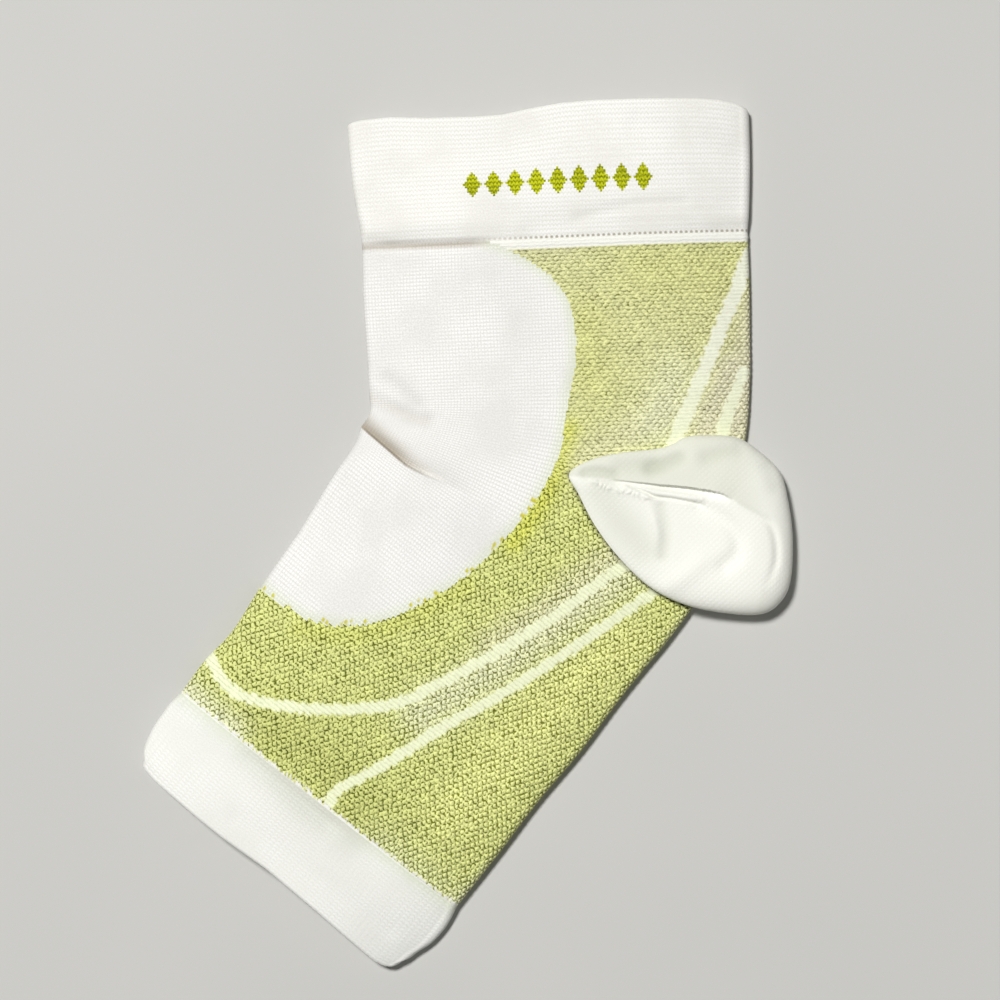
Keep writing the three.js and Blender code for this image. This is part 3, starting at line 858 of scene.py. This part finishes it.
# The rim's height above the line that its front corner starts from, at shares of the cuff's width.
CUFF_RIM = [
    (0, 0), (0.035, 0.6), (0.11, 0.8), (0.2, 0.1), (0.32, -0.15), (0.39, 0.1), (0.45, 1.1), (0.53, 2.1),
    (0.62, 2.5), (0.76, 2.4), (0.87, 2.2), (0.925, 1.7), (0.968, 0.9), (1, -0.6),
]


# How much rounder than its wall a welt's edge is.
WELT_PUFF = 0.5


def welt_skin(turn, edges, columns, steps, wall, crown, tube_edge, rim_rise):
    """A turned welt's skin: sections with their front and back edges, run out along the outside, round the
    rim in a half circle as thick as the wall, and back along the inside. Its crown rises from the tube's to
    its own within 10 mm of the seam, and rim_rise gives how much further the rim stands at each share
    across. Gives places, and the stitch position across and along, which on the flat upper side is the
    place itself."""
    edges = smooth_run(edges, 6)
    way = np.linspace(edges[0, 0], edges[-1, 0], steps)
    heading = np.sign(way[-1] - way[0])
    angle = np.linspace(0, math.pi, 11)[1:-1]
    along = np.concatenate([way, way[-1] + heading * wall / 2 * np.sin(angle), way[::-1][::4]])
    inset = np.concatenate([0 * way, wall / 2 * (1 - np.cos(angle)), np.full(len(way[::4]), wall)])
    order = np.argsort(edges[:, 0])
    front = np.interp(along, edges[order, 0], edges[order, 1])[:, None]
    back = np.interp(along, edges[order, 0], edges[order, 2])[:, None]
    travelled = np.abs(along - way[0])
    rows_crown = CROWN + (crown - CROWN) * ramp(travelled, 0, 10)[:, None]
    radius = wall + WELT_PUFF
    edge = tube_edge + (radius - tube_edge) * ramp(travelled, 0.5, 4)[:, None]
    across, height, _ = round_section(columns[None, :], back - front, inset[:, None], edge, rows_crown)
    reach = travelled[:, None] / abs(way[-1] - way[0])
    ahead = along[:, None] + rim_rise(across / (back - front), np.clip(reach, 0, 1))
    xy = in_plan(turn, front + across, ahead)
    half = back - front - 2 * radius + math.pi * radius
    around = front + 2 * columns[None, :] * half + radius - math.pi * radius / 2
    steps_on = np.hypot(np.diff(along), np.diff(inset))
    onward = way[0] + heading * np.concatenate([[0], np.cumsum(steps_on)])
    stitch = np.dstack(np.broadcast_arrays(around, onward[:, None]))
    return np.dstack([xy, height]), stitch


def cuff_rise(share, reach):
    """The rim's rise at shares of the width, which grows from the cuff's middle up."""
    shares, rises = np.array(CUFF_RIM).T
    return np.interp(share, shares, rises) * ramp(reach, 0.35, 1)


def section_axes(xy, turn):
    """How far plan points lie across and along a section with a share of the ankle's turn."""
    way = in_plan(turn, 1, 0)
    return xy @ way, xy @ np.array([-way[1], way[0]])


CUFF_COLUMNS = np.concatenate([np.linspace(0, 0.5, 241), np.linspace(0.5, 1, 121)[1:]])
CUFF_ROWS = 73
CUFF_FOLDS = [
    (SEAM_FOLD, 1, -0.8, 0.15),
    ([(1, 46), (18, 46.5), (36, 46)], 2.6, 0.35),
    ([(50, 47.5), (62, 50.5), (74, 51.5)], 1.5, -0.25),
    ([(64, 69.5), (80, 65), (91, 62)], 3, -0.3),
    ([(8, 62), (24, 58), (40, 60)], 4, 0.2),
]
cuff, cuff_stitch = welt_skin(
    0, CUFF_EDGES, CUFF_COLUMNS, CUFF_ROWS, CUFF_WALL, CUFF_CROWN, LEG_EDGE, cuff_rise
)
cuff_xy = cuff[..., :2]
leg_across, leg_along = section_axes(cuff_xy, 0)
ribs = 0.025 * np.sin(leg_along * 2 * math.pi / (2 * CUFF_COURSE)) * np.clip((leg_across - 48) / 14, 0, 1)
seam_groove = -0.22 * bell(leg_along - SEAM_HOLES, 0.35)
cuff_relief = ribs + seam_groove + folds(cuff_xy, CUFF_FOLDS) + soft_waves(cuff_xy, *LONG_WAVES)
cuff[..., 2] += on_top(cuff[..., 2], CUFF_COLUMNS) * cuff_relief
cuff_dye = tinted(plain_dye(cuff, CUFF_WHITE), seam_shade(cuff_xy), FOLD_SHADE)

# The knitted diamonds: how many, how far apart, their half width and height, where their middle lies, and
# the half stitches that their edges step by.
DIAMONDS = 9
DIAMOND_PITCH = 4.9
DIAMOND_HALF_WIDTH = 2.2
DIAMOND_HALF_HEIGHT = 2.9
DIAMOND_MIDDLE = (47.5, 54.1)
DIAMOND_STEP = (0.49, 0.52)
DIAMOND_LIME = linear(208, 214, 24)
# The painted shade in the diamonds' grooves.
DIAMOND_GROOVE_SHADE = linear(110, 118, 8)


def diamond_row_group():
    """A node group for the knitted diamonds. Both stitch positions are rounded to whole half stitches, so
    that the edges step from stitch to stitch, and Row is 1 where the distance from the nearest diamond's
    middle across, over its half width, and along, over its half height, add up to less than one."""
    tree, _, x, y = new_group("diamond_row", {}, ["Row"])
    across = maths("SUBTRACT", x, DIAMOND_MIDDLE[0])
    along = maths("SUBTRACT", y, DIAMOND_MIDDLE[1])
    number = maths("ROUND", maths("DIVIDE", across, DIAMOND_PITCH))
    number = maths("MAXIMUM", maths("MINIMUM", number, DIAMONDS // 2), -(DIAMONDS // 2))
    across = maths("SUBTRACT", across, maths("MULTIPLY", number, DIAMOND_PITCH))
    shares = []
    for value, step, half in zip((across, along), DIAMOND_STEP, (DIAMOND_HALF_WIDTH, DIAMOND_HALF_HEIGHT)):
        stepped = maths("SNAP", maths("ADD", value, step / 2), step)
        shares.append(maths("DIVIDE", maths("ABSOLUTE", stepped), half))
    return put_out(tree, Row=maths("LESS_THAN", maths("ADD", *shares), 1))


def seam_hole_group():
    """A node group for the row of holes at the seam: Hole falls from 1 to 0 as the squares of the distances
    from the nearest hole, across and along, over its half size, add up to more. The row fades out towards
    the front."""
    tree, _, x, y = new_group("seam_holes", {}, ["Hole"])
    across = maths("DIVIDE", maths("PINGPONG", x, HOLE_PITCH / 2), HOLE_HALF)
    along = maths("DIVIDE", maths("SUBTRACT", y, SEAM_HOLES), HOLE_HALF)
    reach = maths("ADD", maths("MULTIPLY", across, across), maths("MULTIPLY", along, along))
    return put_out(tree, Hole=maths("MULTIPLY", share_between(reach, 2.4, 0.4), share_between(x, 26, 44)))


cuff_cloth = knit_material(
    "white_cuff_knit", (0.7, 0.69, 0.65), 0.05, 0.5, Wale=CUFF_WALE, Course=CUFF_COURSE, Lean=0.9, Rib=0.6
)
cuff_tree = cuff_cloth.node_tree
cuff_shader = cuff_tree.nodes["Principled BSDF"]
cuff_white = cuff_shader.inputs["Base Color"].links[0].from_socket
cuff_knit = next(node for node in cuff_tree.nodes if node.type == "GROUP" and node.node_tree == plain_knit)
diamond_row = place_group(cuff_tree, diamond_row_group()).outputs["Row"]
seam_holes = place_group(cuff_tree, seam_hole_group()).outputs["Hole"]
cuff_white = blend_colors(seam_holes, cuff_white, HOLE_SHADE)
# The lime diamonds are painted darker in the knit's grooves, as shade there.
lime_yarn = blend_colors(cuff_knit.outputs["Groove"], DIAMOND_LIME, DIAMOND_GROOVE_SHADE)
cuff_color = blend_colors(diamond_row, cuff_white, lime_yarn)
cuff_tree.links.new(cuff_color, cuff_shader.inputs["Base Color"])
build_piece(
    "ankle_cuff_knit",
    [(cuff, cuff_stitch, cuff_dye, grid_faces(*cuff.shape[:2], flip=True))],
    cuff_cloth,
    "ankle_cuff",
)


# The toe band.
# A shorter white welt round the forefoot, soft and a little puffy at its corners, open at the toes.
BAND_WALL = 1.6
BAND_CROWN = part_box("toe_band")[1].z / MM
BAND_WHITE = linear(246, 246, 241)
BAND_SEAM = linear(226, 234, 206)
BAND_DIP_SHADE = linear(222, 223, 212)
BAND_EDGES = [
    (-73.8, 5, 85.6),
    (-77.5, 4.5, 86.4),
    (-81, 4.6, 86.6),
    (-85, 4.8, 86.2),
    (-89, 5.5, 85),
    (-91.3, 6.3, 84.4),
    (-93, 7.8, 83.5),
]

# The toe edge's place beyond its straight line, at shares of the band's width: round at both corners.
BAND_RIM = [
    (0, -1.6), (0.012, -0.8), (0.03, -0.4), (0.06, -0.1), (0.1, 0), (0.25, 0.3), (0.33, 0.3), (0.5, -0.3),
    (0.7, 0.3), (0.85, 1.1), (0.93, 1.5), (0.965, 1.1), (0.985, 0.2), (1, -1.4),
]


def band_rise(share, reach):
    """The toe edge's place at shares of the width, which grows from the band's middle out."""
    shares, rises = np.array(BAND_RIM).T
    return -np.interp(share, shares, rises) * ramp(reach, 0.1, 1)


BAND_COLUMNS = np.concatenate([np.linspace(0, 0.5, 221), np.linspace(0.5, 1, 111)[1:]])
BAND_ROWS = 49
BAND_FOLDS = [
    ([(-24, -75), (-16, -82), (-7, -90)], 3.6, -0.8),
    ([(-10, -84), (2, -94)], 3, -0.5),
    ([(-40, -70), (-46, -82)], 5, 0.35),
    ([(-28, -90), (6, -116)], 2.2, -0.2),
]
band, band_stitch = welt_skin(
    1, BAND_EDGES, BAND_COLUMNS, BAND_ROWS, BAND_WALL, BAND_CROWN, FOOT_EDGE, band_rise
)
band_xy = band[..., :2]
foot_across, foot_along = section_axes(band_xy, 1)
wales = 0.02 * np.sin(foot_across * 2 * math.pi / MESH_WALE)
band_relief = (wales + folds(band_xy, BAND_FOLDS)) * ramp(foot_along, -73.8, -77)
band_relief = band_relief + soft_waves(band_xy, *LONG_WAVES)
band[..., 2] += on_top(band[..., 2], BAND_COLUMNS) * band_relief

# Lime yarn shows through at the band's seam, unevenly, and its middle is painted a little darker along the
# dip there, as shade.
greenish = 0.75 * np.exp(-np.abs(foot_along + 74) / 1.6) * (1 + chance(by_course(band_xy), 0.3))
dip_shade = 0.8 * near(band_xy, [(-22, -74), (-12, -86), (-2, -92)], 6)
band_dye = tinted(plain_dye(band, BAND_WHITE), np.clip(greenish, 0, 1), BAND_SEAM)
band_dye = tinted(band_dye, dip_shade, BAND_DIP_SHADE)
band_cloth = knit_material(
    "white_band_knit", (0.8, 0.8, 0.77), 0.055, 0.55, Wale=MESH_WALE, Course=0.83, Lean=0.6, Rib=0.9
)
build_piece(
    "toe_band_knit",
    [(band, band_stitch, band_dye, grid_faces(*band.shape[:2]))],
    band_cloth,
    "toe_band",
)


# The heel pocket.
# A deep pouch of fine white terry, knitted in one with the tube and folded over on it when the sleeve lies
# flat. Its upper flap laps over a pleat, under which the pouch bulges, with the turning seam inside it.
HEEL_WALL = 1.4
HEEL_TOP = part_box("heel_pocket")[1].z / MM
HEEL_RIM_RADIUS = 1.9
HEEL_LOWER_RADIUS = 2.6
HEEL_WHITE = linear(249, 249, 241)
HEEL_FLAP = linear(230, 231, 218)
# Painted shade: the darker colour of the pocket's lining and of its dips, pleat and turning seam.
HEEL_HOLLOW_SHADE = linear(206, 208, 192)

# Round from the tip: how high the rim stands above the lowest edge, as a share of the pocket's height.
HEEL_RIM = [
    0.84, 0.82, 0.8, 0.74, 0.68, 0.6, 0.5, 0.25, 0.05, 0, 0,
    0, 0, 0.04, 0.14, 0.34, 0.6, 0.8, 0.88, 0.9, 0.88, 0.84,
]

# Lines on the pocket, as its pleat and seam run: the pleat, the turning seam under it, the soft line that
# runs on from the pleat inside the outer edge, the bowl under it, and the ridge across the lower flap.
PLEAT = [
    (55.5, -12.2), (58.1, -12.4), (63, -12.9), (68.8, -13.5), (74.5, -14), (78.5, -14.6), (81.4, -15.1),
    (83.1, -15.7), (84.9, -16.7), (86.6, -18.2), (88.3, -19.8),
]
TURNING_SEAM = [
    (60.5, -13.6), (63, -14.4), (65.6, -15.4), (67.6, -16.3), (71.6, -16.8), (77.1, -17.9), (79.5, -18.6),
]
SUTURE = [(53.4, -12.6), (57.3, -14.5), (62, -15.3), (66, -16.6)]
OUTER_LINE = [
    (86.3, -18), (88.5, -19.3), (91.2, -20.8), (93.5, -22.3), (94.7, -24.5), (95.3, -27.4), (95.3, -30.8),
    (94.6, -33.1), (93.6, -35.4), (92, -37.4),
]
BOWL_LINE = [(78, -18.2), (81, -19.9), (84.5, -22.6), (86.4, -26), (86, -29.5), (83.5, -32)]
RIDGE = [(65.6, -17), (66.8, -20.5), (67.9, -25), (67.3, -29.4)]
RIDGE_SHADE = [(68.9, -18.5), (69.8, -22.5), (70, -26), (69.2, -30)]
LOWER_RIDGE = [(70.2, -37.2), (74, -34.5), (77.5, -31.5)]
SIDE_DIP = [(55, -16), (59, -22), (64.5, -28.5)]

# The pocket's dips and its folds, each with its width, height and fading.
HEEL_DIPS = [
    ([(51.6, -10.8), (54.5, -10.6), (57.8, -11.3)], 1.4, -0.75),
    ([(66.5, -9.8), (69.6, -8.9), (72.8, -7.4)], 1.7, -0.8),
    ([(60, -9.3), (64, -9), (67, -8.7)], 2.4, -0.5),
    ([(79.5, -7.4), (83, -6), (86.2, -5.4)], 2.2, -0.55),
    ([(93.4, -9.4), (95, -14)], 2, -0.3),
    (RIDGE_SHADE, 1.4, -0.4),
    (SIDE_DIP, 4, -0.35),
]
HEEL_FOLDS = [
    (TURNING_SEAM, 0.4, -0.6, 0.15),
    ([(61, -13.9), (66, -14.8), (72, -15.8), (78, -16.8)], 0.9, 0.45),
    (SUTURE, 1.2, 0.15),
    (RIDGE, 1.1, 0.4, 0.4),
    (LOWER_RIDGE, 2.4, 0.4),
    (OUTER_LINE, 1.0, -0.5, 0.3),
    (BOWL_LINE, 2, -0.7),
]

HEEL_AROUND = 330
rim_run = closed_run(np.column_stack([HEEL_EDGE, HEEL_RIM[:-1]]), 24)
around = np.linspace(0, 1, HEEL_AROUND + 1)
turns = np.linspace(0, 1, len(rim_run))
heel_edge = np.stack([np.interp(around, turns, rim_run[:, k]) for k in range(3)], axis=-1)
heel_edge[-1] = heel_edge[0]
heel_lowest = 2 * HEEL_LOWER_RADIUS
heel_rim = heel_lowest + (HEEL_TOP - heel_lowest) * heel_edge[:, 2]


def heel_skin(inset, shares):
    """The pocket's skin, ring by ring: shares under 0 run over the flat underside, from 0 to 1 up the side
    in a quarter circle and a straight rise, and from 1 to 2 over the top to its middle. The top is a puffed
    cushion: its height above the rim is the 0.42th power of one less the fifth power of the distance from
    the middle, so it stands steep at the rim and is nearly flat inside."""
    out = heel_edge[:, :2] - HEEL_MIDDLE
    length = np.linalg.norm(out, axis=1)
    out /= length[:, None]
    low = HEEL_LOWER_RADIUS - inset
    rim = np.maximum(heel_rim - HEEL_RIM_RADIUS - inset, inset + low)
    s = shares[:, None]
    turn = np.clip(2 * s, 0, 1) * math.pi / 2
    drawn = low * (1 - np.sin(turn))
    side_height = inset + low * (1 - np.cos(turn))
    side_height = side_height + np.clip(2 * s - 1, 0, 1) * (rim - side_height)
    inward = np.where(s > 1, 1 - np.maximum(s - 1, 0) ** 1.7, np.where(s < 0, 1 + s, 1))
    reach = np.maximum(length - inset - drawn, 0) * inward
    crown = HEEL_TOP - 0.7 - inset
    puffed = rim + (crown - rim) * np.clip(1 - inward**5, 0, 1) ** 0.42
    height = np.where(s > 1, puffed, np.where(s < 0, inset, side_height))
    xy = HEEL_MIDDLE + out[None, :, :] * reach[..., None]
    return np.dstack([xy, height])


side_steps = np.concatenate([np.linspace(0, 0.5, 7), [0.75, 1]])
heel_shares = np.concatenate([[-1, -0.6, -0.3], side_steps, 1 + np.linspace(0, 1, 150)[1:]])
heel = heel_skin(0, heel_shares)
heel_xy = heel[..., :2]
heel_top = ramp(heel_shares[:, None], 1.0, 1.1)
suture_bumps = 0.5 + 0.5 * np.sin(nearness(heel_xy, SUTURE)[2] * 62 + soft_waves(heel_xy, 3, 3, (0.5, 2)))
dips = folds(heel_xy, HEEL_DIPS)
heel[..., 2] += heel_top * (
    dips
    + lap(heel_xy, PLEAT[-3::-1], 1.5, 1.2, 1.4, 0.45)
    + folds(heel_xy, HEEL_FOLDS)
    + fold(heel_xy, SUTURE, 0.6, 0.35) * suture_bumps
    + soft_waves(heel_xy, 19, 0.22, (0.6, 1.4, 2.6))
)
heel_stitch = heel_xy @ np.array([[0.74, -0.67], [0.67, 0.74]])

# The flap above the pleat is duller than the bowl below it. Painted shade: the side dip is drawn towards
# the flap's duller colour, and the dips, the line under the pleat and the turning seam are painted darker.
flap_edge = [(46, -11.6)] + PLEAT[1:-2] + OUTER_LINE + [(90.5, -44)]
pleat_gap, pleat_side, _ = nearness(heel_xy, flap_edge)
flap = ramp(pleat_side * pleat_gap, -0.2, 0.6) * ramp(heel_xy[..., 0], 96, 84)
side_shade = 0.35 * near(heel_xy, SIDE_DIP, 5)
pleat_and_seam_shade = 0.55 * near(heel_xy, PLEAT[1:-2], 0.28) + 0.25 * near(heel_xy, TURNING_SEAM, 0.25)
heel_dye = tinted(plain_dye(heel, HEEL_WHITE), np.maximum(flap, side_shade), HEEL_FLAP)
heel_dye = tinted(heel_dye, np.clip(-dips / 1.2 + pleat_and_seam_shade, 0, 1) * heel_top, HEEL_HOLLOW_SHADE)

# The pocket's lining, inside it, is painted in the colour of shade.
lining_shares = np.concatenate([[-1, -0.5], np.linspace(0, 0.5, 4), [1], 1 + np.linspace(0, 1, 16)[1:]])
lining = heel_skin(HEEL_WALL, lining_shares)
lining_stitch = np.ascontiguousarray(lining[..., :2])

heel_cloth = knit_material(
    "white_heel_terry", (0.86, 0.87, 0.83), 0.04, 0.35, Wale=1, Course=0.98, Lean=0.6, Rib=0.8
)
build_piece(
    "heel_pocket_knit",
    [
        (heel, heel_stitch, heel_dye, grid_faces(*heel.shape[:2])),
        (lining, lining_stitch, plain_dye(lining, HEEL_HOLLOW_SHADE), grid_faces(*lining.shape[:2], flip=True)),
    ],
    heel_cloth,
    "heel_pocket",
)
